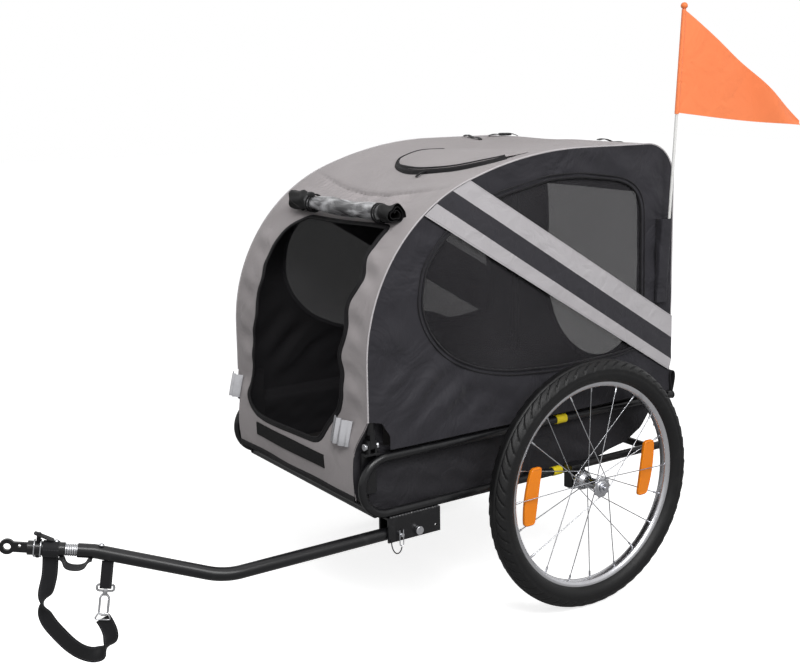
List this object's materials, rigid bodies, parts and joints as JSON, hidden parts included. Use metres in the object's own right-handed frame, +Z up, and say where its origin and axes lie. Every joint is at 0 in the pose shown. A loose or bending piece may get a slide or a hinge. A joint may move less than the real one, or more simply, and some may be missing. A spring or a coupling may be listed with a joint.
{
  "type": "dog bike trailer",
  "caption": "Two-wheeled cloth dog trailer on folding hoops, with open front door, mesh windows, sunroof, side tow bar with spring hitch, safety strap and flag.",
  "frame": {"origin": "On the ground under the middle of the overall length, width and height box", "axes": "+X forward towards the bicycle, +Y to the left where the tow bar is, +Z up"},
  "size_m": [1.624, 0.7234, 1.173],
  "materials": {
    "frame_black": "satin black powder coat",
    "bare_steel": "zinc plated",
    "bright_wire": "bright plated wire",
    "rim_silver": "satin anodised",
    "tyre_black": "matt rubber",
    "grey_cloth": "coated polyester",
    "black_cloth": "coarse woven polyester",
    "black_mesh": "open net",
    "black_webbing": "woven webbing",
    "orange_cloth": "thin bright cloth",
    "orange_plastic": "prismatic",
    "white_plastic": "glass fibre rod",
    "black_plastic": "moulded",
    "yellow_band": "printed film without print",
    "dark_board": "hardboard"
  },
  "bodies": {
    "chassis": {"left_frame_loop": "frame_black", "right_frame_loop": "frame_black", "cross_tubes": "frame_black", "rail_bands": "yellow_band", "left_hinge_brackets": "frame_black", "right_hinge_brackets": "frame_black", "left_hinge_bolts": "bare_steel", "right_hinge_bolts": "bare_steel", "left_axle_socket": "frame_black", "right_axle_socket": "frame_black", "tow_bar_receiver": "frame_black", "tow_bar_bolt": "bare_steel", "floor_board": "dark_board", "floor_cloth": "black_cloth", "left_tub_side": "black_cloth", "right_tub_side": "black_cloth", "front_panel": "grey_cloth", "roof_panel": "grey_cloth", "rear_panel": "grey_cloth", "left_side_panel": "black_cloth", "right_side_panel": "black_cloth", "left_window_mesh": "black_mesh", "right_window_mesh": "black_mesh", "rear_window_mesh": "black_mesh", "door_roll": "grey_cloth", "sunroof_flap": "grey_cloth", "pin_lanyard": "black_webbing"},
    "left_side": {"left_hoop": "frame_black", "flag_pocket": "black_cloth"},
    "right_side": {"right_hoop": "frame_black"},
    "flag_pole": {"flag_pole": "white_plastic", "flag_pennant": "orange_cloth", "flag_ball": "orange_plastic"},
    "tow_bar": {"tow_bar": "frame_black", "hook_tab": "black_webbing", "snap_hook": "bright_wire", "strap_ring": "bright_wire", "safety_strap": "black_webbing", "bridge_strap": "black_webbing"},
    "hook_gate": {"hook_gate": "bright_wire"},
    "hitch_link": {"coupler_spring": "bright_wire"},
    "hitch_coupler": {"coupler_stub": "frame_black", "hitch_tongue": "bare_steel", "hitch_pin": "bare_steel"},
    "hitch_bail": {"hitch_bail": "bright_wire"},
    "locking_pin": {"locking_pin": "bright_wire"},
    "left_axle": {"left_axle": "bare_steel"},
    "left_wheel": {"left_tyre": "tyre_black", "left_rim": "rim_silver", "left_spokes": "bright_wire", "left_hub": "black_plastic", "left_reflectors": "orange_plastic"},
    "left_axle_button": {"left_axle_button": "black_plastic"},
    "right_axle": {"right_axle": "bare_steel"},
    "right_wheel": {"right_tyre": "tyre_black", "right_rim": "rim_silver", "right_spokes": "bright_wire", "right_hub": "black_plastic", "right_reflectors": "orange_plastic"},
    "right_axle_button": {"right_axle_button": "black_plastic"}
  },
  "joints": [
    {"name": "left_side_fold", "type": "hinge", "parent": "chassis", "child": "left_side", "pos_m": [0.2013, 0.247, 0.39], "axis": [1, 0, 0], "range_deg": [0, 90], "deforming": ["front_panel", "roof_panel", "rear_panel", "rear_window_mesh", "left_side_panel", "right_side_panel", "left_window_mesh", "right_window_mesh", "door_roll", "sunroof_flap", "flag_pennant"]},
    {"name": "right_side_fold", "type": "hinge", "parent": "chassis", "child": "right_side", "pos_m": [0.2013, -0.247, 0.414], "axis": [-1, 0, 0], "range_deg": [0, 90], "deforming": ["front_panel", "roof_panel", "rear_panel", "rear_window_mesh", "left_side_panel", "right_side_panel", "left_window_mesh", "right_window_mesh", "door_roll", "sunroof_flap"]},
    {"name": "flag_pole_pull", "type": "slide", "parent": "left_side", "child": "flag_pole", "axis": [0, 0.0698, 0.9976], "range_m": [0, 0.16]},
    {"name": "left_axle_pull", "type": "slide", "parent": "chassis", "child": "left_axle", "axis": [0, 1, 0], "range_m": [0, 0.04]},
    {"name": "left_wheel_spin", "type": "hinge", "parent": "left_axle", "child": "left_wheel", "pos_m": [-0.2587, 0.32, 0.247], "axis": [0, 1, 0], "continuous": true},
    {"name": "left_button_press", "type": "slide", "parent": "left_axle", "child": "left_axle_button", "axis": [0, -1, 0], "range_m": [0, 0.003], "stiffness_N_per_m": 800},
    {"name": "right_axle_pull", "type": "slide", "parent": "chassis", "child": "right_axle", "axis": [0, -1, 0], "range_m": [0, 0.04]},
    {"name": "right_wheel_spin", "type": "hinge", "parent": "right_axle", "child": "right_wheel", "pos_m": [-0.2587, -0.32, 0.247], "axis": [0, 1, 0], "continuous": true},
    {"name": "right_button_press", "type": "slide", "parent": "right_axle", "child": "right_axle_button", "axis": [0, 1, 0], "range_m": [0, 0.003], "stiffness_N_per_m": 800},
    {"name": "tow_bar_fold", "type": "hinge", "parent": "chassis", "child": "tow_bar", "pos_m": [0.1103, 0.241, 0.218], "axis": [0, 1, 0], "range_deg": [0, 180], "deforming": ["safety_strap"]},
    {"name": "hook_gate_open", "type": "hinge", "parent": "tow_bar", "child": "hook_gate", "pos_m": [0.66123, 0.16822, 0.19741], "axis": [-0.4324, -0.9017, 0], "range_deg": [0, 20], "stiffness_Nm_per_rad": 0.05},
    {"name": "hitch_yaw", "type": "hinge", "parent": "tow_bar", "child": "hitch_link", "pos_m": [0.71023, 0.14472, 0.28637], "axis": [-0.1233, 0.0591, 0.9906], "range_deg": [-15, 15], "stiffness_Nm_per_rad": 20, "deforming": ["coupler_spring", "bridge_strap", "safety_strap"]},
    {"name": "hitch_pitch", "type": "hinge", "parent": "hitch_link", "child": "hitch_coupler", "pos_m": [0.71023, 0.14472, 0.28637], "axis": [0.4324, 0.9017, 0], "range_deg": [-15, 15], "stiffness_Nm_per_rad": 20, "deforming": ["coupler_spring", "bridge_strap", "safety_strap"]},
    {"name": "bail_swing", "type": "hinge", "parent": "hitch_coupler", "child": "hitch_bail", "pos_m": [0.75664, 0.12773, 0.31032], "axis": [0.8932, -0.4284, 0.1367], "range_deg": [0, 80]},
    {"name": "locking_pin_pull", "type": "slide", "parent": "chassis", "child": "locking_pin", "axis": [0, 1, 0], "range_m": [0, 0.045], "deforming": ["pin_lanyard"]}
  ]
}
